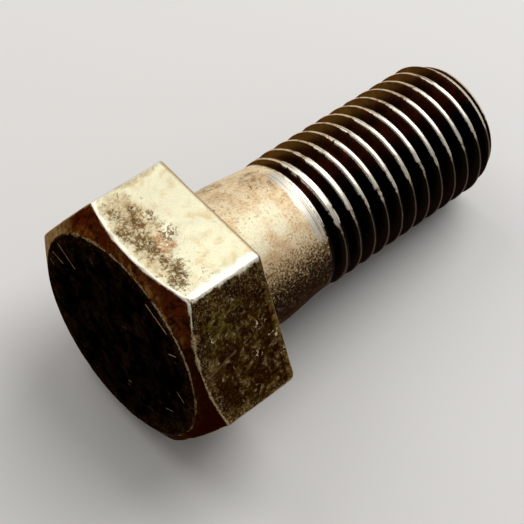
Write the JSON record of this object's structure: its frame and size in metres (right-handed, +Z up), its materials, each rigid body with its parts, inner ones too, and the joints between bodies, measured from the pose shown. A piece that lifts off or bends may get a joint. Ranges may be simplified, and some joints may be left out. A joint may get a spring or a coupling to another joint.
{
  "type": "hex head bolt",
  "caption": "Hex head bolt lying at rest: chamfered head, plain shank that tapers to its neck, right-hand coarse thread, chamfered point. Clamps parts with a nut or in a tapped hole.",
  "frame": {"origin": "middle of the lying bolt's box, on the ground", "axes": "+X along the bolt towards its point, +Z up, one head flat on top"},
  "size_m": [0.0608, 0.0352, 0.0318],
  "materials": {
    "worn_steel": "worn dark steel with rust stains, bright on edges and crests"
  },
  "bodies": {
    "root": {"hex_bolt": "worn_steel"}
  },
  "joints": []
}
